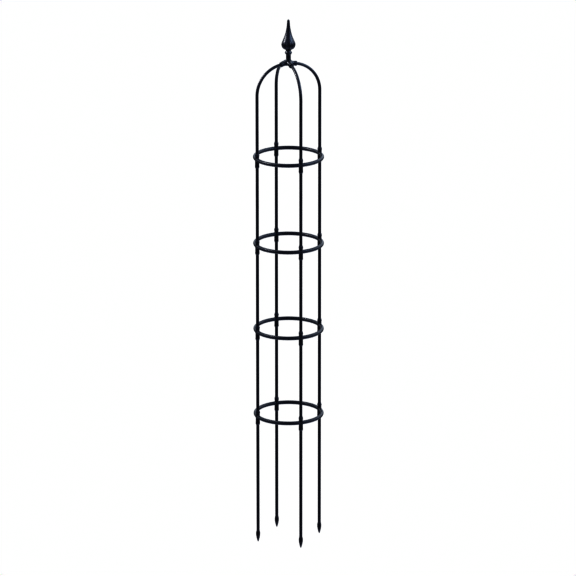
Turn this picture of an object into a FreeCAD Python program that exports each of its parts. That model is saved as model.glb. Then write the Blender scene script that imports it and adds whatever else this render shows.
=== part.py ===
import FreeCAD, Part
import math
import os

# A slim round garden obelisk of coated steel tube, standing on four ground spikes.
# Millimetres. +Z is up, the axis of the obelisk is the Z axis, and the spike tips stand on z = 0.
# The four leg lines are lettered a, b, c and d, anticlockwise from +X+Y. Rings and bays are
# numbered from the top.

# --- driving dimensions ---------------------------------------------------------------------
LEGS = {"a": 45.0, "b": 135.0, "c": 225.0, "d": 315.0}   # plan angle of each leg line, degrees
LEG_CIRCLE_R = 119.0        # the leg lines stand on this circle, and so do the ring centrelines
TUBE_R = 5.0                # 10 mm tube: legs, uprights and arches
TUBE_BORE_R = 4.0
HOOP_TUBE_R = 6.5           # 13 mm tube, bent into the rings
HOOP_BORE_R = 5.5
RING_COUNT = 4
LOWEST_RING_Z = 476.0
RING_PITCH = 319.0
PUSH_FIT = 0.1              # radial clearance of a tube in its socket

# Stub sockets, welded above and below each ring at each leg line. Heights are from the ring's
# centreline.
SADDLE_LIP = 3.0            # how near to the centreline a socket's coped lips reach
UPPER_NECK_R = 6.6
UPPER_RIM_R = 7.5
UPPER_RIM_Z = 16.5
UPPER_MOUTH_Z = 24.0
LOWER_NECK_R = 7.0
LOWER_RIM_R = 7.35
LOWER_RIM_Z = 24.5
LOWER_MOUTH_Z = 30.5
SWELL_LENGTH = 5.0          # a socket swells from its neck to its rim over this length
MOUTH_WALL = 0.6            # the thin edge left round the tube at a socket's mouth

# Arches: each rises plumb, bends inwards, and meets the crown hub drooping.
ARCH_BEND_R = 107.0
ARCH_SPRING_Z = 1665.8      # where the bend begins
ARCH_DROOP = 11.0           # slope of the arch's inner end, degrees

# Crown hub: a boss with four drooping socket arms, each with a thicker rim at its mouth.
HUB_ARM_R = 7.6
HUB_RIM_R = 8.8
HUB_RIM_LENGTH = 6.5
HUB_ARM_LENGTH = 31.0       # from the hub's centre, along the arm
HUB_SEAT = 11.0             # how far from the centre the arches stop, along the arm
HUB_BOSS_R = 9.25
HUB_BOSS_UP = 12.0
HUB_BOSS_DOWN = 9.0
HUB_EDGE = 1.0              # chamfer of the rims and boss edges

# Finial: a round stem and bead under a teardrop bulb with shallow flutes round its belly.
FINIAL_STEM_R = 8.0
FINIAL_BEAD_R = 12.0
FINIAL_BEAD_Z = 24.5        # heights in the finial are from its foot
FINIAL_NECK_R = 8.8
FINIAL_NECK_Z = 32.0
FINIAL_HEIGHT = 144.0
BULB_OUTLINE = (            # radius over the crests, height and flute depth, from inside the neck
    (8.0, 31.0, 0.0),
    (18.2, 38.8, 1.2),
    (23.1, 46.5, 1.7),
    (24.4, 54.0, 1.7),
    (22.7, 62.0, 1.1),
    (18.0, 73.0, 0.2),
    (12.6, 87.0, 0.0),
    (8.6, 102.0, 0.0),
    (5.9, 118.0, 0.0),
    (4.6, 132.0, 0.0),
    (4.1, 139.0, 0.0),
)
FLUTES = 14
POINTS_PER_FLUTE = 6
NOSE_STEP = 0.15            # the rounded tip is this much slimmer than the bulb's end
STUD_R = 4.0                # M8 stud that holds the finial on the hub
STUD_IN_HUB = 15.0
STUD_IN_FINIAL = 15.0
STUD_CHAMFER = 0.8

# Ground spike: a pointed plug in the foot of each leg.
SPIKE_SHOULDER_Z = 43.0
SPIKE_BAND_R = 6.8
SPIKE_BAND_LOW_Z = 26.0
SPIKE_BAND_HIGH_Z = 34.0
SPIKE_TIP_R = 0.9
SPIKE_SHANK_LENGTH = 25.0

# --- worked out from them -------------------------------------------------------------------
SOCKET_BORE_R = TUBE_R + PUSH_FIT
RING_Z = {n: LOWEST_RING_Z + RING_PITCH * (RING_COUNT - n) for n in range(1, RING_COUNT + 1)}
DROOP = math.radians(ARCH_DROOP)
BEND_CENTRE_S = LEG_CIRCLE_R - ARCH_BEND_R
BEND_END_S = BEND_CENTRE_S + ARCH_BEND_R * math.sin(DROOP)
BEND_END_Z = ARCH_SPRING_Z + ARCH_BEND_R * math.cos(DROOP)
HUB_Z = BEND_END_Z + BEND_END_S * math.tan(DROOP)
FINIAL_FOOT_Z = HUB_Z + HUB_BOSS_UP

UP = FreeCAD.Vector(0, 0, 1)
ACROSS = FreeCAD.Vector(0, 1, 0)
ORIGIN = FreeCAD.Vector(0, 0, 0)


def at(s, z):
    """A point in the plane of the X axis: s from the obelisk's axis, z up."""
    return FreeCAD.Vector(s, 0, z)


def placed(shape, leg, rise=0.0):
    """A copy of a shape made over the X axis, turned to a leg line and lifted."""
    copy = shape.copy()
    copy.rotate(ORIGIN, UP, LEGS[leg])
    copy.translate(UP * rise)
    return copy


def turned(points, centre=ORIGIN):
    """The solid of revolution of a closed outline of (radius, height) corners."""
    corners = [centre + at(r, z) for r, z in points]
    outline = Part.makePolygon(corners + corners[:1])
    return Part.Face(outline).revolve(centre, UP, 360)


def tube(height, foot):
    """A plumb length of the 10 mm tube."""
    outside = Part.makeCylinder(TUBE_R, height, foot)
    return outside.cut(Part.makeCylinder(TUBE_BORE_R, height, foot))


def crest(z):
    """Height of a ring's crest, where the tube above it rests."""
    return z + HOOP_TUBE_R


def underside(z):
    """Height of a ring's underside, where the tube below it stops."""
    return z - HOOP_TUBE_R


def ring_hoop(z):
    """One ring: tube bent round and butt welded."""
    outside = Part.makeTorus(LEG_CIRCLE_R, HOOP_TUBE_R)
    inside = Part.makeTorus(LEG_CIRCLE_R, HOOP_BORE_R)
    hoop = outside.cut(inside)
    hoop.translate(UP * z)
    return hoop


def socket(neck_r, rim_r, rim_z, mouth_z, side):
    """A stub socket on the X axis, coped to the ring. side is 1 above the ring and -1 below it."""
    outline = (
        (SOCKET_BORE_R, 0.0),
        (neck_r, 0.0),
        (neck_r, rim_z - SWELL_LENGTH),
        (rim_r, rim_z),
        (rim_r, rim_z + 1.0),
        (SOCKET_BORE_R + MOUTH_WALL, mouth_z),
        (SOCKET_BORE_R, mouth_z),
    )
    outline = [(r, side * max(h, SADDLE_LIP)) for r, h in outline]
    stub = turned(outline, at(LEG_CIRCLE_R, 0))
    return stub.cut(Part.makeTorus(LEG_CIRCLE_R, HOOP_TUBE_R))


def bent_rod(radius):
    """An arch's round bar: plumb rise, bend and drooping end."""
    rise = ARCH_SPRING_Z - crest(RING_Z[1])
    plumb = Part.makeCylinder(radius, rise, at(LEG_CIRCLE_R, crest(RING_Z[1])))
    spring = Part.Circle(at(LEG_CIRCLE_R, ARCH_SPRING_Z), UP, radius)
    section = Part.Face(Part.Wire(spring.toShape()))
    bend = section.revolve(at(BEND_CENTRE_S, ARCH_SPRING_Z), -ACROSS, 90 - ARCH_DROOP)
    inwards = FreeCAD.Vector(-math.cos(DROOP), 0, math.sin(DROOP))
    run = BEND_END_S / math.cos(DROOP) - HUB_SEAT
    end = Part.makeCylinder(radius, run, at(BEND_END_S, BEND_END_Z), inwards)
    return plumb.fuse([bend, end]).removeSplitter()


def crown_hub():
    """Boss with four drooping arms, a blind socket in each, and a blind hole for the stud."""
    outwards = FreeCAD.Vector(math.cos(DROOP), 0, -math.sin(DROOP))
    centre = at(0, HUB_Z)
    edge_r = HUB_BOSS_R - HUB_EDGE
    body = turned(
        (
            (0, -HUB_BOSS_DOWN),
            (edge_r, -HUB_BOSS_DOWN),
            (HUB_BOSS_R, HUB_EDGE - HUB_BOSS_DOWN),
            (HUB_BOSS_R, HUB_BOSS_UP - HUB_EDGE),
            (edge_r, HUB_BOSS_UP),
            (0, HUB_BOSS_UP),
        ),
        centre,
    )
    arm = turned(
        (
            (0, 0),
            (HUB_ARM_R, 0),
            (HUB_ARM_R, HUB_ARM_LENGTH - HUB_RIM_LENGTH - HUB_EDGE),
            (HUB_RIM_R, HUB_ARM_LENGTH - HUB_RIM_LENGTH),
            (HUB_RIM_R, HUB_ARM_LENGTH - HUB_EDGE),
            (HUB_RIM_R - HUB_EDGE, HUB_ARM_LENGTH),
            (0, HUB_ARM_LENGTH),
        )
    )
    arm.rotate(ORIGIN, ACROSS, 90 + ARCH_DROOP)
    arm.translate(centre)
    seat = centre + outwards * HUB_SEAT
    bore = Part.makeCylinder(SOCKET_BORE_R, HUB_ARM_LENGTH - HUB_SEAT, seat, outwards)
    body = body.fuse([placed(arm, leg) for leg in LEGS])
    stud_hole = Part.makeCylinder(STUD_R, STUD_IN_HUB, at(0, FINIAL_FOOT_Z - STUD_IN_HUB))
    body = body.cut([placed(bore, leg) for leg in LEGS] + [stud_hole])
    return body.removeSplitter()


def bulb_section(radius, z, depth):
    """A closed fluted curve: crests on the radius, one of them on the X axis, flutes between."""
    steps = FLUTES * POINTS_PER_FLUTE
    points = []
    for step in range(steps):
        angle = 2 * math.pi * step / steps
        r = radius - depth * abs(math.sin(FLUTES * angle / 2))
        points.append(FreeCAD.Vector(r * math.cos(angle), r * math.sin(angle), z))
    curve = Part.BSplineCurve()
    curve.interpolate(points, PeriodicFlag=True)
    return Part.Wire(curve.toShape())


def finial():
    """Stem, bead, fluted bulb and rounded tip in one casting, with a blind stud hole."""
    bead_rise = FINIAL_NECK_Z - FINIAL_BEAD_Z
    stem = turned(
        (
            (0, 0),
            (FINIAL_STEM_R, 0),
            (FINIAL_STEM_R, FINIAL_BEAD_Z - bead_rise),
            (FINIAL_BEAD_R, FINIAL_BEAD_Z - 1.0),
            (FINIAL_BEAD_R, FINIAL_BEAD_Z + 1.0),
            (FINIAL_NECK_R, FINIAL_NECK_Z - 2.5),
            (FINIAL_NECK_R, FINIAL_NECK_Z),
            (0, FINIAL_NECK_Z),
        )
    )
    bulb = Part.makeLoft([bulb_section(*row) for row in BULB_OUTLINE], True, False)
    tip_r, tip_z, _ = BULB_OUTLINE[-1]
    tip_r -= NOSE_STEP
    tip_rise = FINIAL_HEIGHT - tip_z
    nose = turned(
        (
            (0, tip_z - 1.0),
            (tip_r, tip_z - 1.0),
            (tip_r, tip_z),
            (0.8 * tip_r, tip_z + 0.6 * tip_rise),
            (0.4 * tip_r, tip_z + 0.92 * tip_rise),
            (0, FINIAL_HEIGHT),
        )
    )
    body = stem.fuse([bulb, nose])
    body = body.cut(Part.makeCylinder(STUD_R, STUD_IN_FINIAL))
    body.translate(UP * FINIAL_FOOT_Z)
    return body


def finial_stud():
    """The stud between hub and finial. Its thread is left plain."""
    half = STUD_R - STUD_CHAMFER
    top = STUD_IN_FINIAL
    return turned(
        (
            (0, -STUD_IN_HUB),
            (half, -STUD_IN_HUB),
            (STUD_R, STUD_CHAMFER - STUD_IN_HUB),
            (STUD_R, top - STUD_CHAMFER),
            (half, top),
            (0, top),
        ),
        at(0, FINIAL_FOOT_Z),
    )


def ground_spike():
    """A spike over the X axis: shank, shoulder, round band and long point."""
    shank_top = SPIKE_SHOULDER_Z + SPIKE_SHANK_LENGTH
    return turned(
        (
            (0, 0),
            (SPIKE_TIP_R, 0),
            (0.6 * SPIKE_BAND_R, 0.4 * SPIKE_BAND_LOW_Z),
            (0.85 * SPIKE_BAND_R, 0.7 * SPIKE_BAND_LOW_Z),
            (SPIKE_BAND_R, SPIKE_BAND_LOW_Z),
            (SPIKE_BAND_R, SPIKE_BAND_HIGH_Z),
            (TUBE_R, SPIKE_SHOULDER_Z),
            (TUBE_BORE_R, SPIKE_SHOULDER_Z),
            (TUBE_BORE_R, shank_top - 1.0),
            (TUBE_BORE_R - 1.0, shank_top),
            (0, shank_top),
        ),
        at(LEG_CIRCLE_R, 0),
    )


def make_parts():
    """Every node of the obelisk, by name."""
    parts = {
        "finial": finial(),
        "finial_stud": finial_stud(),
        "crown_hub": crown_hub(),
        "ground_spikes": Part.makeCompound([placed(ground_spike(), leg) for leg in LEGS]),
    }
    arch = bent_rod(TUBE_R).cut(bent_rod(TUBE_BORE_R))
    upper = socket(UPPER_NECK_R, UPPER_RIM_R, UPPER_RIM_Z, UPPER_MOUTH_Z, 1)
    lower = socket(LOWER_NECK_R, LOWER_RIM_R, LOWER_RIM_Z, LOWER_MOUTH_Z, -1)
    bay = tube(RING_PITCH - 2 * HOOP_TUBE_R, at(LEG_CIRCLE_R, 0))
    leg_length = underside(LOWEST_RING_Z) - SPIKE_SHOULDER_Z
    ground_leg = tube(leg_length, at(LEG_CIRCLE_R, SPIKE_SHOULDER_Z))
    for leg in LEGS:
        parts[f"arch_tube_{leg}"] = placed(arch, leg)
        parts[f"ground_leg_{leg}"] = placed(ground_leg, leg)
    for n, z in RING_Z.items():
        parts[f"ring_hoop_{n}"] = ring_hoop(z)
        for leg in LEGS:
            parts[f"upper_socket_{n}{leg}"] = placed(upper, leg, z)
            parts[f"lower_socket_{n}{leg}"] = placed(lower, leg, z)
            if n > 1:
                parts[f"upright_tube_{n - 1}{leg}"] = placed(bay, leg, crest(z))
    return parts


os.makedirs("parts", exist_ok=True)
for name, shape in make_parts().items():
    if not shape.isValid():
        raise ValueError(name + " isn't a valid solid")
    shape.exportStep("parts/" + name + ".step")
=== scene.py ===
"""The looks of the garden obelisk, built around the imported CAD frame. All lengths are in metres.

The leg lines are lettered a to d and the rings numbered from the top, as the CAD nodes are.
"""

import math

import bmesh
import bpy
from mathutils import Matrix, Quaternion, Vector, noise


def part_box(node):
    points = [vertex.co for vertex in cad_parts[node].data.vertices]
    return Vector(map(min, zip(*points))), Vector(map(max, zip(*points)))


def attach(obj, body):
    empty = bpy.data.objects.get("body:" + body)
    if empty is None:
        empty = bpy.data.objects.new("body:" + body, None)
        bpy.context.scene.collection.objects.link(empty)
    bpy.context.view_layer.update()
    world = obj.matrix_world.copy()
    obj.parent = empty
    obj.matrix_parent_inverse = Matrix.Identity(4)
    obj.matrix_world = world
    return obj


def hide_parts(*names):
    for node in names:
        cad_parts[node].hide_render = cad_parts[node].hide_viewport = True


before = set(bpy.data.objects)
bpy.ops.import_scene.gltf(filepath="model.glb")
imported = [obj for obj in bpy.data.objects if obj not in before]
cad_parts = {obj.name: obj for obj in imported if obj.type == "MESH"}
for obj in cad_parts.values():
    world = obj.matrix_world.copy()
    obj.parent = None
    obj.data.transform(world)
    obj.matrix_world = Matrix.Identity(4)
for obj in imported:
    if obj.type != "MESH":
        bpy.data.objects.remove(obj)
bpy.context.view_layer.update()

MM = 0.001

# --- read from the frame --------------------------------------------------------------------
RINGS = (1, 2, 3, 4)
HOOP_LOW, HOOP_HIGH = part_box("ring_hoop_1")
HOOP_TUBE_R = (HOOP_HIGH.z - HOOP_LOW.z) / 2
LEG_CIRCLE_R = min(*HOOP_HIGH.xy, *-HOOP_LOW.xy) - HOOP_TUBE_R
RING_Z = {n: sum(corner.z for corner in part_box(f"ring_hoop_{n}")) / 2 for n in RINGS}
LEG_ANGLE = {}
for leg in "abcd":
    foot = sum(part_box(f"ground_leg_{leg}"), Vector())
    LEG_ANGLE[leg] = math.atan2(foot.y, foot.x)
LEG_LOW, LEG_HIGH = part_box("ground_leg_a")
TUBE_R = (LEG_HIGH.x - LEG_LOW.x) / 2
FINIAL_LOW, FINIAL_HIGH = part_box("finial")
FINIAL_FOOT = FINIAL_LOW.z
FINIAL_HEIGHT = FINIAL_HIGH.z - FINIAL_LOW.z

# --- driving dimensions ---------------------------------------------------------------------
TUBE_WALL = 1.0 * MM
PUSH_FIT = 0.1 * MM          # radial clearance of a tube in its socket
SHARP_EDGE = math.radians(40)
TUBE_SIDES = 40
TUBE_STATIONS = 9            # rings of points along a straight tube
RISE_STATIONS = 6            # and along the plumb rise of an arch
BEND_STEPS = 48
HOOP_SIDES = 32
HOOP_STEPS = 256
BUTT_WELD_ANGLE = 67.5       # degrees from +X, to which each ring adds its number of quarter turns
BUTT_WELD_SWELL = 0.35 * MM
BUTT_WELD_REACH = 2.6 * MM   # how far along the hoop the swell dies away

# Stub sockets: heights are from the ring's centreline.
UPPER_SOCKET = {"neck": 6.6 * MM, "rim": 7.5 * MM, "rim_z": 16.5 * MM, "mouth_z": 24.0 * MM}
LOWER_SOCKET = {"neck": 7.0 * MM, "rim": 7.35 * MM, "rim_z": 24.5 * MM, "mouth_z": 30.5 * MM}
SOCKET_SIDES = 80
SWELL_LENGTH = 5.0 * MM
MOUTH_WALL = 0.6 * MM
MOUTH_DEPTH = 3.0 * MM       # how far inside the mouth the bore has its nearest row of points
SADDLE_LIP = 3.0 * MM        # how near to the hoop's centreline the coped lips reach
SADDLE_EASE = 1.2 * MM       # rounding between the coped lips and the saddle
WELD_SIDE = 0.65 * MM        # the weld bead's size on the hoop's flanks
WELD_ALONG = 1.25 * MM       # and where it crosses the hoop's crest
WELD_SINK = 0.3 * MM         # how far the weld's hidden foot goes into the hoop
WELD_FOOT_R = 5.9 * MM       # and the widest it may stand
WELD_WANDER = 0.18           # share of its size by which the bead wanders
WANDER_LOOP = 2.0            # radius of the bead's loop through the noise: more is busier
WELD_RIPPLE = 0.04           # and by which it ripples
WELD_RIPPLES = 20
WELD_LOW = math.radians(-80)    # where the bead's round face begins on the hoop's flanks
WELD_LIFT = math.radians(50)    # and how much higher it begins at the crest
WELD_CLEAR = 1.3             # sizes of the bead from its root to the plain wall
WELD_POINTS = 10

# Arches and crown hub.
ARCH_BEND_R = 107.0 * MM
ARCH_SPRING_Z = 1665.8 * MM
ARCH_DROOP = math.radians(11.0)
HUB_ROOT_R = 10.0 * MM
HUB_ARM_R = 7.6 * MM
HUB_RIM_R = 8.8 * MM
HUB_ARM_LENGTH = 31.0 * MM
HUB_SEAT = 11.0 * MM
HUB_BOSS_R = 9.25 * MM
HUB_BOSS_UP = 12.0 * MM
HUB_BOSS_DOWN = 9.0 * MM
HUB_GRAIN = 0.45 * MM        # voxel size of the cast hub's mesh
HUB_SMOOTHING = 14
TOUCHING = 0.001 * MM        # points nearer than this in a cut mesh are one
STUD_R = 4.0 * MM
STUD_DEPTH = 15.0 * MM
THREAD_PITCH = 1.25 * MM
WAVE_SPACING = math.pi / 10  # between the bands of a wave texture of scale 1
ROD_SIDES = 64
AXIS_R = 0.001 * MM          # radius that closes a turned outline on its axis

# Finial: heights are from its foot. The bulb is slimmer at its own foot than the CAD bulb is.
STEM_OUTLINE = (             # radius, height and corner rounding
    (8.0 * MM, 0.0, 0.0),
    (8.0 * MM, 17.0 * MM, 3.0 * MM),
    (12.4 * MM, 23.4 * MM, 1.0 * MM),
    (12.4 * MM, 25.8 * MM, 1.0 * MM),
    (8.8 * MM, 30.0 * MM, 1.5 * MM),
)
BULB_OUTLINE = (             # radius and height of a smooth curve through these points
    (8.8 * MM, 33.6 * MM),
    (10.8 * MM, 35.6 * MM),
    (16.8 * MM, 38.8 * MM),
    (21.0 * MM, 42.2 * MM),
    (23.1 * MM, 47.0 * MM),
    (24.4 * MM, 54.0 * MM),
    (22.7 * MM, 62.0 * MM),
    (18.0 * MM, 73.0 * MM),
    (12.6 * MM, 87.0 * MM),
    (8.6 * MM, 102.0 * MM),
    (5.9 * MM, 118.0 * MM),
    (4.6 * MM, 132.0 * MM),
    (4.1 * MM, 139.0 * MM),
)
FLUTES = 14
FLUTE_DEPTH = 1.7 * MM
FLUTE_START = (33.0 * MM, 41.0 * MM)   # the flutes deepen between these heights
FLUTE_END = (55.0 * MM, 72.0 * MM)     # and run out between these
FLUTE_ROUNDNESS = 0.6        # below 1 the flutes are broad and the crests between them narrow
FLUTE_COLUMNS = 10
FINIAL_ROW = 0.8 * MM
TIP_STEPS = 9
FINIAL_SHARP_EDGE = math.radians(60)

# Spikes: radius and height, from the shoulder in the leg down to the tip.
SPIKE_OUTLINE = (
    (5.0 * MM, 43.0 * MM),
    (5.9 * MM, 39.0 * MM),
    (6.75 * MM, 34.0 * MM),
    (6.8 * MM, 30.0 * MM),
    (6.7 * MM, 26.0 * MM),
    (5.7 * MM, 18.0 * MM),
    (4.0 * MM, 10.0 * MM),
    (2.1 * MM, 3.5 * MM),
    (0.9 * MM, 0.5 * MM),
)
SPIKE_SHANK_TOP = 68.0 * MM
SPIKE_TIP_R = 0.45 * MM
SPIKE_ROW = 0.8 * MM
SPIKE_SIDES = 48

# Camera: where it stands, as seen from the obelisk's middle, and how it is aimed.
CAMERA_AZIMUTH = math.radians(23.55)
CAMERA_ELEVATION = math.radians(17.17)
CAMERA_DISTANCE = 17.81
CAMERA_PIVOT_Z = 0.966
CAMERA_AIM_Z = 0.946
CAMERA_AIM_LEFT = 2.1 * MM
CAMERA_ROLL = math.radians(-0.04)
CAMERA_LENS = 311.86
SENSOR = 36.0
SURROUND_LEVEL = 5.7         # brightness that 1 stands for in the surroundings' colours
FLOOR_HALF = 60.0
PRINT_GAMMA = 0.42           # the hard contrast of a catalogue print


# --- points and meshes ----------------------------------------------------------------------
def polar(angle, radius, z):
    """The point at this plan angle, distance from the obelisk's axis and height."""
    return Vector((radius * math.cos(angle), radius * math.sin(angle), z))


def smoothstep(low, high, value):
    """0 up to low, 1 from high, and a smooth rise between."""
    t = min(max((value - low) / (high - low), 0.0), 1.0)
    return t * t * (3 - 2 * t)


def rounded(corners, steps=6):
    """An outline through (radius, height, reach) corners, each rounded from reach before to reach after."""
    points = []
    for i, (r, z, reach) in enumerate(corners):
        here = Vector((r, z))
        if reach == 0.0 or i == 0 or i == len(corners) - 1:
            points.append(here)
            continue
        back = (Vector(corners[i - 1][:2]) - here).normalized() * reach
        on = (Vector(corners[i + 1][:2]) - here).normalized() * reach
        for step in range(steps + 1):
            t = step / steps
            points.append(here + back * (1 - t) ** 2 + on * t ** 2)
    return points


def curved(points, spacing):
    """A smooth outline through (radius, height) points, in steps of about the spacing, with two
    or more steps from each point to the next."""
    dots = [Vector(p) for p in points]
    ends = [2 * dots[0] - dots[1]] + dots + [2 * dots[-1] - dots[-2]]
    outline = []
    for a, b, c, d in zip(ends, ends[1:], ends[2:], ends[3:]):
        steps = max(2, round((c - b).length / spacing))
        for step in range(steps):
            t = step / steps
            outline.append(
                b
                + (c - a) * t / 2
                + (2 * a - 5 * b + 4 * c - d) * t ** 2 / 2
                + (3 * b - a - 3 * c + d) * t ** 3 / 2
            )
    outline.append(dots[-1])
    return outline


def skin(loops, closed=False):
    """Vertices and faces of a surface over loops of points. Closed, its last loop joins its first;
    otherwise a fan of triangles caps each end."""
    vertices = [point for loop in loops for point in loop]
    faces = []
    sides = len(loops[0])
    pairs = len(loops) if closed else len(loops) - 1
    for row in range(pairs):
        low = row * sides
        high = (row + 1) % len(loops) * sides
        for i in range(sides):
            j = (i + 1) % sides
            faces.append((low + i, low + j, high + j, high + i))
    if not closed:
        for first, turn in ((0, -1), ((len(loops) - 1) * sides, 1)):
            hub = len(vertices)
            vertices.append(sum(vertices[first : first + sides], Vector()) / sides)
            for i in range(sides):
                edge = (first + i, first + (i + 1) % sides)
                faces.append((*edge[::turn], hub))
    return vertices, faces


def circle(centre, across, up, radius, sides):
    """Points round a centre, in the plane of two unit vectors."""
    turns = [2 * math.pi * i / sides for i in range(sides)]
    return [centre + (across * math.cos(t) + up * math.sin(t)) * radius for t in turns]


def new_object(name, vertices, faces, material, sharp=SHARP_EDGE):
    """A smooth-shaded mesh object with its sharp edges kept."""
    mesh = bpy.data.meshes.new(name)
    mesh.from_pydata([tuple(v) for v in vertices], [], faces)
    mesh.materials.append(material)
    mesh.shade_smooth()
    mesh.set_sharp_from_angle(angle=sharp)
    obj = bpy.data.objects.new(name, mesh)
    bpy.context.scene.collection.objects.link(obj)
    return obj


def add_piece(obj, slot, *nodes):
    """Attaches an object to the obelisk's root body and hides the CAD nodes that it stands for."""
    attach(obj, "root")
    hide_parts(*nodes)


def apply_modifiers(obj):
    """Bakes an object's modifiers into its mesh, splits its many-sided faces into triangles and
    merges points that touch."""
    graph = bpy.context.evaluated_depsgraph_get()
    mesh = bpy.data.meshes.new_from_object(obj.evaluated_get(graph))
    obj.modifiers.clear()
    obj.data = mesh
    work = bmesh.new()
    work.from_mesh(mesh)
    bmesh.ops.triangulate(work, faces=[face for face in work.faces if len(face.verts) > 4])
    bmesh.ops.remove_doubles(work, verts=work.verts, dist=TOUCHING)
    work.to_mesh(mesh)
    work.free()


# --- materials ------------------------------------------------------------------------------
class Graph:
    """The few kinds of node that the finishes and the studio are built from."""

    def __init__(self, tree):
        self.nodes = tree.nodes
        self.links = tree.links

    def ranged(self, value, low, high, start=0.3, end=0.7):
        """A value between start and end, stretched to run from low to high."""
        node = self.nodes.new("ShaderNodeMapRange")
        self.links.new(value, node.inputs["Value"])
        for socket, number in (("From Min", start), ("From Max", end), ("To Min", low), ("To Max", high)):
            node.inputs[socket].default_value = number
        return node.outputs["Result"]

    def total(self, *values):
        """The sum of several values."""
        result = values[0]
        for value in values[1:]:
            node = self.nodes.new("ShaderNodeMath")
            self.links.new(result, node.inputs[0])
            self.links.new(value, node.inputs[1])
            result = node.outputs["Value"]
        return result

    def shades(self, value, *stops):
        """A colour ramp over (position, colour) stops."""
        node = self.nodes.new("ShaderNodeValToRGB")
        self.links.new(value, node.inputs["Fac"])
        ramp = node.color_ramp.elements
        for i, (position, colour) in enumerate(stops):
            stop = ramp[i] if i < 2 else ramp.new(position)
            stop.position = position
            stop.color = (*colour, 1.0)
        return node.outputs["Color"]


class Surface(Graph):
    """A new material around one Principled shader."""

    def __init__(self, name):
        self.material = bpy.data.materials.new(name)
        self.material.use_nodes = True
        super().__init__(self.material.node_tree)
        self.shader = self.nodes["Principled BSDF"]
        self.place = self.nodes.new("ShaderNodeTexCoord").outputs["Object"]

    def noise(self, scale, detail=3.0, roughness=0.55):
        """Noise with this many features to the metre."""
        node = self.nodes.new("ShaderNodeTexNoise")
        node.inputs["Scale"].default_value = scale
        node.inputs["Detail"].default_value = detail
        node.inputs["Roughness"].default_value = roughness
        self.links.new(self.place, node.inputs["Vector"])
        return node.outputs["Fac"]

    def edges(self):
        """0 on flats and hollows, 1 on the sharpest outer edges."""
        geometry = self.nodes.new("ShaderNodeNewGeometry")
        return self.ranged(geometry.outputs["Pointiness"], 0.0, 1.0, 0.52, 0.62)

    def colour(self, value):
        self.links.new(value, self.shader.inputs["Base Color"])

    def roughness(self, value):
        self.links.new(value, self.shader.inputs["Roughness"])

    def bump(self, *layers):
        """Stacks bump layers of (height, distance in metres) on the surface."""
        normal = None
        for height, distance in layers:
            node = self.nodes.new("ShaderNodeBump")
            node.inputs["Distance"].default_value = distance
            self.links.new(height, node.inputs["Height"])
            if normal is not None:
                self.links.new(normal, node.inputs["Normal"])
            normal = node.outputs["Normal"]
        self.links.new(normal, self.shader.inputs["Normal"])


def tube_coating():
    """Semi-gloss black powder coat on steel tube: orange peel, cloudy gloss, thinner on the edges."""
    s = Surface("tube_coating")
    s.colour(s.shades(
        s.total(s.ranged(s.noise(30), 0.0, 0.8), s.ranged(s.edges(), 0.0, 0.6)),
        (0.0, (0.018, 0.019, 0.022)),
        (1.0, (0.034, 0.035, 0.038)),
    ))
    s.roughness(s.total(s.ranged(s.noise(55), 0.29, 0.37), s.ranged(s.noise(1400), -0.03, 0.04)))
    s.bump((s.noise(420, 2.0, 0.4), 0.022 * MM), (s.noise(1900, 2.0), 0.006 * MM))
    return s.material


def casting_coating():
    """The same black coat on a casting: a pebbly skin under it, and a little less even gloss."""
    s = Surface("casting_coating")
    s.colour(s.shades(
        s.total(s.ranged(s.noise(60), 0.0, 0.8), s.ranged(s.edges(), 0.0, 0.7)),
        (0.0, (0.018, 0.019, 0.022)),
        (1.0, (0.036, 0.037, 0.040)),
    ))
    s.roughness(s.total(s.ranged(s.noise(90), 0.24, 0.34), s.ranged(s.noise(1200), -0.03, 0.05)))
    s.bump((s.noise(260, 3.0, 0.5), 0.06 * MM), (s.noise(1100, 2.0), 0.012 * MM))
    return s.material


def spike_nylon():
    """Moulded black nylon: a fine grain, scuffed a little duller towards the edges."""
    s = Surface("spike_nylon")
    s.colour(s.shades(
        s.total(s.ranged(s.noise(45), 0.0, 0.7), s.ranged(s.edges(), 0.0, 0.8)),
        (0.0, (0.017, 0.017, 0.018)),
        (1.0, (0.040, 0.040, 0.040)),
    ))
    s.roughness(s.total(s.ranged(s.noise(70), 0.26, 0.36), s.ranged(s.edges(), 0.0, 0.15)))
    s.bump((s.noise(2600, 2.0), 0.01 * MM),)
    return s.material


def stud_zinc():
    """Bright zinc plate with a faint blue and straw bloom, and a thread's bands."""
    s = Surface("stud_zinc")
    s.shader.inputs["Metallic"].default_value = 1.0
    s.colour(s.shades(
        s.noise(180),
        (0.3, (0.50, 0.53, 0.58)),
        (0.7, (0.62, 0.60, 0.53)),
    ))
    s.roughness(s.ranged(s.noise(400), 0.22, 0.40))
    thread = s.nodes.new("ShaderNodeTexWave")
    thread.bands_direction = "Z"
    thread.inputs["Scale"].default_value = WAVE_SPACING / THREAD_PITCH
    s.links.new(s.place, thread.inputs["Vector"])
    s.bump((thread.outputs["Fac"], 0.4 * MM), (s.noise(2200), 0.005 * MM))
    return s.material


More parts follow.
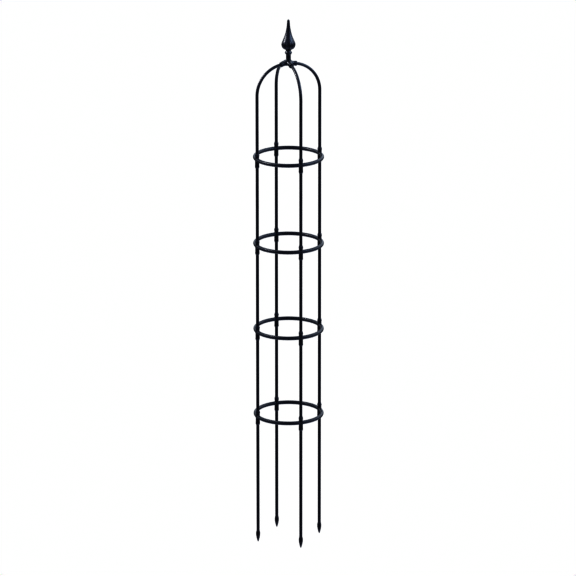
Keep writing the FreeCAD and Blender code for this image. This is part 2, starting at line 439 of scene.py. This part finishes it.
# --- hoops and sockets ----------------------------------------------------------------------
def make_hoop(n, material):
    """A ring of bent tube with the slight swell of its butt weld between two legs."""
    weld_angle = math.radians(BUTT_WELD_ANGLE + 90.0 * n)
    loops = []
    for step in range(HOOP_STEPS):
        t = 2 * math.pi * step / HOOP_STEPS
        off = (t - weld_angle + math.pi) % (2 * math.pi) - math.pi
        swell = BUTT_WELD_SWELL * math.exp(-((off * LEG_CIRCLE_R / BUTT_WELD_REACH) ** 2))
        outwards = polar(t, 1.0, 0.0)
        centre = polar(t, LEG_CIRCLE_R, RING_Z[n])
        loops.append(circle(centre, Vector((0, 0, 1)), outwards, HOOP_TUBE_R + swell, HOOP_SIDES))
    hoop = new_object(f"hoop_{n}", *skin(loops, closed=True), material)
    add_piece(hoop, "coated_tube", f"ring_hoop_{n}")


def hoop_height(x, y):
    """Height of the hoop's upper skin above its centreline, at a place beside a leg line."""
    off = math.hypot(LEG_CIRCLE_R + x, y) - LEG_CIRCLE_R
    return math.sqrt(max(HOOP_TUBE_R ** 2 - off ** 2, 0.0))


def socket_outline(turn, seed, neck, rim, rim_z, mouth_z):
    """A socket's closed outline at one turn about its axis, from the bore's foot out round the weld
    bead and up to the mouth. turn 0 faces away from the obelisk's axis."""
    bore = TUBE_R + PUSH_FIT
    loop = Vector((WANDER_LOOP * math.cos(turn), WANDER_LOOP * math.sin(turn), seed))
    wander = noise.noise(loop)
    crest = math.sin(turn) ** 2
    bead = WELD_SIDE + (WELD_ALONG - WELD_SIDE) * crest
    bead *= 1.0 + WELD_WANDER * wander + WELD_RIPPLE * math.cos(WELD_RIPPLES * turn)
    saddle = hoop_height(neck * math.cos(turn), neck * math.sin(turn))
    root = (saddle + SADDLE_LIP + math.hypot(saddle - SADDLE_LIP, SADDLE_EASE)) / 2
    bore_foot = hoop_height(bore * math.cos(turn), bore * math.sin(turn)) - WELD_SINK
    outline = [
        Vector((bore, bore_foot)),
        Vector((min(neck - 2 * WELD_SINK, WELD_FOOT_R), root - bead - WELD_SINK)),
    ]
    middle = Vector((neck - crest * bead, root - crest * bead))
    reach = bead * math.hypot(crest, 1.0 + crest)
    low = WELD_LOW + WELD_LIFT * crest
    high = math.acos(crest * bead / reach)
    for step in range(WELD_POINTS + 1):
        swing = low + (high - low) * step / WELD_POINTS
        outline.append(middle + Vector((math.cos(swing), math.sin(swing))) * reach)
    outline += rounded((
        (neck, root + WELD_CLEAR * bead, 0.0),
        (neck, rim_z - SWELL_LENGTH, 1.6 * MM),
        (rim, rim_z - 0.5 * MM, 0.7 * MM),
        (rim, rim_z + 1.0 * MM, 0.7 * MM),
        (bore + MOUTH_WALL, mouth_z, 0.25 * MM),
        (bore, mouth_z, 0.2 * MM),
        (bore, mouth_z - MOUTH_DEPTH, 0.0),
    ))
    return outline


def make_socket(n, leg, side, dimensions, material):
    """A stub socket welded to a ring: side is 1 above the ring and -1 below it."""
    outwards = polar(LEG_ANGLE[leg], 1.0, 0.0)
    sideways = Vector((-outwards.y, outwards.x, 0.0))
    centre = polar(LEG_ANGLE[leg], LEG_CIRCLE_R, RING_Z[n])
    seed = 10.0 * n + 2.3 * "abcd".index(leg) + side
    loops = []
    for step in range(SOCKET_SIDES):
        turn = 2 * math.pi * step / SOCKET_SIDES
        arm = outwards * math.cos(turn) + sideways * math.sin(turn)
        outline = socket_outline(turn, seed, **dimensions)
        points = [centre + arm * r + Vector((0, 0, side * h)) for r, h in outline]
        loops.append(points[::-side])
    word = "upper" if side > 0 else "lower"
    stub = new_object(f"{word}_stub_{n}{leg}", *skin(loops, closed=True), material)
    add_piece(stub, "coated_tube", f"{word}_socket_{n}{leg}")


# --- tubes ----------------------------------------------------------------------------------
def swept_tube(name, path, material):
    """A tube with a wall along a path of (centre, direction) stations in a plumb plane."""
    across = Vector((-path[0][0].y, path[0][0].x, 0.0)).normalized()
    outer, inner = [], []
    for centre, direction in path:
        up = direction.cross(across)
        outer.append(circle(centre, across, up, TUBE_R, TUBE_SIDES))
        inner.append(circle(centre, across, up, TUBE_R - TUBE_WALL, TUBE_SIDES))
    return new_object(name, *skin(outer + inner[::-1], closed=True), material)


def make_straight(name, node, material):
    """A plumb tube as long as its CAD node."""
    low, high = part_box(node)
    middle = (low + high) / 2
    up = Vector((0, 0, 1))
    path = []
    for i in range(TUBE_STATIONS):
        z = low.z + (high.z - low.z) * i / (TUBE_STATIONS - 1)
        path.append((Vector((middle.x, middle.y, z)), up))
    add_piece(swept_tube(name, path, material), "coated_tube", node)


def make_arch(leg, material):
    """Plumb rise, bend and drooping inner end."""
    out = polar(LEG_ANGLE[leg], 1.0, 0.0)
    up = Vector((0, 0, 1))
    foot_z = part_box(f"arch_tube_{leg}")[0].z
    spring = out * LEG_CIRCLE_R + up * ARCH_SPRING_Z
    centre = spring - out * ARCH_BEND_R
    fall = up * (foot_z - ARCH_SPRING_Z) / RISE_STATIONS
    path = [(spring + fall * k, up) for k in range(RISE_STATIONS, 0, -1)]
    bend = math.pi / 2 - ARCH_DROOP
    for step in range(BEND_STEPS + 1):
        a = bend * step / BEND_STEPS
        arm = out * math.cos(a) + up * math.sin(a)
        path.append((centre + arm * ARCH_BEND_R, up * math.cos(a) - out * math.sin(a)))
    last, direction = path[-1]
    run = last.dot(out) / math.cos(ARCH_DROOP) - HUB_SEAT
    path.append((last + direction * run, direction))
    arch = swept_tube(f"arch_{leg}", path, material)
    add_piece(arch, "coated_tube", f"arch_tube_{leg}")


# --- crown hub ------------------------------------------------------------------------------
def rod(name, start, direction, profile, material):
    """A closed turned body: profile is (radius, distance along the direction) points."""
    across = direction.orthogonal().normalized()
    up = direction.cross(across)
    loops = [circle(start + direction * h, across, up, r, ROD_SIDES) for r, h in profile]
    return new_object(name, *skin(loops), material)


def make_hub(material):
    """One casting: a boss and four drooping arms run together with fillets, then bored."""
    centre = Vector((0, 0, FINIAL_FOOT - HUB_BOSS_UP))
    up = Vector((0, 0, 1))
    boss = rounded((
        (AXIS_R, -HUB_BOSS_DOWN, 0.0),
        (HUB_BOSS_R, -HUB_BOSS_DOWN, 3.0 * MM),
        (HUB_BOSS_R, HUB_BOSS_UP, 2.4 * MM),
        (AXIS_R, HUB_BOSS_UP, 0.0),
    ))
    hub = rod("hub", centre, up, boss, material)
    arm = rounded((
        (AXIS_R, 0.0, 0.0),
        (HUB_ROOT_R, 0.0, 0.0),
        (HUB_ROOT_R, 6.0 * MM, 3.0 * MM),
        (HUB_ARM_R, 16.0 * MM, 2.0 * MM),
        (HUB_ARM_R, HUB_ARM_LENGTH - 11.0 * MM, 1.8 * MM),
        (HUB_RIM_R, HUB_ARM_LENGTH - 5.0 * MM, 2.0 * MM),
        (HUB_RIM_R, HUB_ARM_LENGTH, 1.2 * MM),
        (AXIS_R, HUB_ARM_LENGTH, 0.0),
    ))
    arms, bores = [], []
    for leg, angle in LEG_ANGLE.items():
        direction = polar(angle, math.cos(ARCH_DROOP), -math.sin(ARCH_DROOP))
        arms.append(rod("arm", centre, direction, arm, material))
        seat = centre + direction * HUB_SEAT
        bore = ((TUBE_R + PUSH_FIT, 0.0), (TUBE_R + PUSH_FIT, HUB_ARM_LENGTH))
        bores.append(rod("bore", seat, direction, bore, material))
    hole = ((STUD_R, 0.0), (STUD_R, 2 * STUD_DEPTH))
    bores.append(rod("hole", centre + up * (HUB_BOSS_UP - STUD_DEPTH), up, hole, material))
    combine(hub, arms, "UNION")
    grain = hub.modifiers.new("grain", "REMESH")
    grain.mode = "VOXEL"
    grain.voxel_size = HUB_GRAIN
    fillets = hub.modifiers.new("fillets", "SMOOTH")
    fillets.factor = 0.5
    fillets.iterations = HUB_SMOOTHING
    apply_modifiers(hub)
    combine(hub, bores, "DIFFERENCE")
    hub.data.shade_smooth()
    hub.data.set_sharp_from_angle(angle=SHARP_EDGE)
    add_piece(hub, "coated_casting", "crown_hub")


def combine(obj, others, operation):
    """Joins or cuts an object with others, which are used up."""
    for other in others:
        step = obj.modifiers.new(other.name, "BOOLEAN")
        step.operation = operation
        step.object = other
        step.solver = "MANIFOLD"
    apply_modifiers(obj)
    for other in others:
        bpy.data.objects.remove(other)


# --- finial ---------------------------------------------------------------------------------
def make_finial(material):
    """Stem, bead, fluted bulb and drawn-out tip, with the stud's hole up into its foot."""
    outline = [Vector((STUD_R, STUD_DEPTH)), Vector((STUD_R, 0.0))]
    outline += rounded(STEM_OUTLINE) + curved(BULB_OUTLINE, FINIAL_ROW)
    tip_r, tip_z = BULB_OUTLINE[-1]
    for step in range(1, TIP_STEPS):
        a = math.pi / 2 * step / TIP_STEPS
        outline.append(Vector((tip_r * math.cos(a), tip_z + (FINIAL_HEIGHT - tip_z) * math.sin(a))))
    sides = FLUTES * FLUTE_COLUMNS
    loops = []
    for r, h in outline:
        depth = FLUTE_DEPTH * smoothstep(*FLUTE_START, h) * (1 - smoothstep(*FLUTE_END, h))
        loop = []
        for i in range(sides):
            angle = 2 * math.pi * i / sides
            scoop = (0.5 - 0.5 * math.cos(FLUTES * angle)) ** FLUTE_ROUNDNESS
            loop.append(polar(angle, r - depth * scoop, FINIAL_FOOT + h))
        loops.append(loop)
    finial = new_object("flame_finial", *skin(loops), material, sharp=FINIAL_SHARP_EDGE)
    add_piece(finial, "coated_casting", "finial")


# --- spikes ---------------------------------------------------------------------------------
def make_spike(leg, material):
    """A moulded point with a soft band, and the shank that plugs into the leg."""
    shank = TUBE_R - TUBE_WALL
    shoulder_z = SPIKE_OUTLINE[0][1]
    outline = rounded((
        (shank - 1.0 * MM, SPIKE_SHANK_TOP, 0.0),
        (shank, SPIKE_SHANK_TOP - 1.0 * MM, 0.3 * MM),
        (shank, shoulder_z, 0.0),
    ))
    outline += curved(SPIKE_OUTLINE, SPIKE_ROW)
    outline.append(Vector((SPIKE_TIP_R, 0.0)))
    axis = polar(LEG_ANGLE[leg], LEG_CIRCLE_R, 0.0)
    across, up = Vector((1, 0, 0)), Vector((0, 1, 0))
    loops = [circle(axis + Vector((0, 0, h)), across, up, r, SPIKE_SIDES) for r, h in reversed(outline)]
    spike = new_object(f"spike_{leg}", *skin(loops), material)
    add_piece(spike, "spike_plastic", "ground_spikes")


# --- studio ---------------------------------------------------------------------------------
def studio(right, away, up):
    """A direction or place given as the camera sees it, turned into the row frame."""
    c, s = math.cos(CAMERA_AZIMUTH), math.sin(CAMERA_AZIMUTH)
    return Vector((right * c - away * s, right * s + away * c, up))


def add_camera():
    """The long lens of the product shot, a hair out of level, aimed a little low and left of the
    obelisk's middle."""
    data = bpy.data.cameras.new("camera")
    data.sensor_width = SENSOR
    data.lens = CAMERA_LENS
    data.clip_end = 100.0
    camera = bpy.data.objects.new("camera", data)
    reach = CAMERA_DISTANCE * math.cos(CAMERA_ELEVATION)
    rise = CAMERA_PIVOT_Z + CAMERA_DISTANCE * math.sin(CAMERA_ELEVATION)
    camera.location = studio(0.0, -reach, rise)
    aim = studio(-CAMERA_AIM_LEFT, 0.0, CAMERA_AIM_Z) - camera.location
    camera.rotation_mode = "QUATERNION"
    roll = Quaternion((0.0, 0.0, 1.0), CAMERA_ROLL)
    camera.rotation_quaternion = aim.to_track_quat("-Z", "Y") @ roll
    bpy.context.scene.collection.objects.link(camera)
    bpy.context.scene.camera = camera


def share(graph, direction, axis, *stops):
    """A colour that changes with how far a direction points along an axis: 0 is straight against
    it, 0.5 across it and 1 along it."""
    node = graph.nodes.new("ShaderNodeVectorMath")
    node.operation = "DOT_PRODUCT"
    graph.links.new(direction, node.inputs[0])
    node.inputs[1].default_value = axis
    return graph.shades(graph.ranged(node.outputs["Value"], 0.0, 1.0, -1.0, 1.0), *stops)


def product(graph, *colours):
    """Several colours multiplied."""
    result = colours[0]
    for colour in colours[1:]:
        node = graph.nodes.new("ShaderNodeVectorMath")
        node.operation = "MULTIPLY"
        graph.links.new(result, node.inputs[0])
        graph.links.new(colour, node.inputs[1])
        result = node.outputs["Vector"]
    return result


def add_surroundings():
    """The studio that the obelisk reflects: dim in front, bluish at the sides, greyer behind,
    brighter to the right, and dark overhead and at the foot of its walls. The camera sees plain
    white instead."""
    world = bpy.data.worlds.new("surroundings")
    world.use_nodes = True
    graph = Graph(world.node_tree)
    direction = graph.nodes.new("ShaderNodeTexCoord").outputs["Generated"]
    front_to_back = share(
        graph, direction, studio(0.0, 1.0, 0.0),
        (0.0, (0.08, 0.09, 0.12)),
        (0.08, (0.24, 0.27, 0.38)),
        (0.25, (0.36, 0.40, 0.56)),
        (0.5, (0.56, 0.62, 0.78)),
        (0.8, (0.50, 0.54, 0.61)),
        (1.0, (0.40, 0.43, 0.47)),
    )
    left_to_right = share(
        graph, direction, studio(1.0, 0.0, 0.0),
        (0.5, (0.7, 0.7, 0.7)),
        (0.8, (1.0, 1.0, 1.0)),
    )
    down_to_up = share(
        graph, direction, (0.0, 0.0, 1.0),
        (0.1, (0.95, 0.95, 0.95)),
        (0.32, (0.12, 0.12, 0.12)),
        (0.48, (0.12, 0.12, 0.12)),
        (0.55, (1.0, 1.0, 1.0)),
        (0.8, (1.0, 1.0, 1.0)),
        (1.0, (0.16, 0.16, 0.16)),
    )
    studio_light = graph.nodes["Background"]
    studio_light.inputs["Strength"].default_value = SURROUND_LEVEL
    colour = product(graph, front_to_back, left_to_right, down_to_up)
    graph.links.new(colour, studio_light.inputs["Color"])
    white = graph.nodes.new("ShaderNodeBackground")
    white.inputs["Color"].default_value = (1, 1, 1, 1)
    either = graph.nodes.new("ShaderNodeMixShader")
    path = graph.nodes.new("ShaderNodeLightPath")
    graph.links.new(path.outputs["Is Camera Ray"], either.inputs["Fac"])
    graph.links.new(studio_light.outputs["Background"], either.inputs[1])
    graph.links.new(white.outputs["Background"], either.inputs[2])
    graph.links.new(either.outputs["Shader"], graph.nodes["World Output"].inputs["Surface"])
    bpy.context.scene.world = world


def add_floor():
    """A plain white floor that the obelisk stands on without reflecting it."""
    white = bpy.data.materials.new("floor_white")
    white.use_nodes = True
    graph = Graph(white.node_tree)
    glow = graph.nodes.new("ShaderNodeEmission")
    graph.links.new(glow.outputs["Emission"], graph.nodes["Material Output"].inputs["Surface"])
    signs = ((-1, -1), (1, -1), (1, 1), (-1, 1))
    corners = [(FLOOR_HALF * x, FLOOR_HALF * y, 0) for x, y in signs]
    floor = new_object("floor", corners, [(0, 1, 2, 3)], white)
    floor.visible_diffuse = False
    floor.visible_glossy = False


def add_light(name, place, size, radiance, colour):
    """A rectangular softbox at a place seen as the camera sees it, facing the finial."""
    data = bpy.data.lights.new(name, "AREA")
    data.shape = "RECTANGLE"
    data.size, data.size_y = size
    data.energy = radiance * math.pi * size[0] * size[1]
    data.color = colour
    light = bpy.data.objects.new(name, data)
    light.location = studio(*place)
    aim = Vector((0.0, 0.0, FINIAL_FOOT + FINIAL_HEIGHT / 2)) - light.location
    light.rotation_mode = "QUATERNION"
    light.rotation_quaternion = aim.to_track_quat("-Z", "Y")
    light.visible_camera = False
    bpy.context.scene.collection.objects.link(light)


def add_lights():
    """A narrow strip at the finial's left and a wider, dimmer, cool softbox at its right, both
    above it."""
    add_light("strip_left", (-1.2, 0.0, 2.48), (0.40, 0.72), 28.0, (1.0, 0.98, 0.96))
    add_light("softbox_right", (1.15, -0.35, 2.45), (1.1, 0.75), 5.8, (0.60, 0.80, 1.0))


# --- the whole ------------------------------------------------------------------------------
coat = tube_coating()
cast_coat = casting_coating()
nylon = spike_nylon()

for n in RINGS:
    make_hoop(n, coat)
    for leg in LEG_ANGLE:
        make_socket(n, leg, 1, UPPER_SOCKET, coat)
        make_socket(n, leg, -1, LOWER_SOCKET, coat)
        if n < len(RINGS):
            make_straight(f"upright_{n}{leg}", f"upright_tube_{n}{leg}", coat)
for leg in LEG_ANGLE:
    make_straight(f"leg_{leg}", f"ground_leg_{leg}", coat)
    make_arch(leg, coat)
    make_spike(leg, nylon)
make_hub(cast_coat)
make_finial(cast_coat)
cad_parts["finial_stud"].material_slots[0].material = stud_zinc()

add_camera()
add_surroundings()
add_floor()
add_lights()
bpy.context.scene.view_settings.view_transform = "Standard"
bpy.context.scene.view_settings.gamma = PRINT_GAMMA
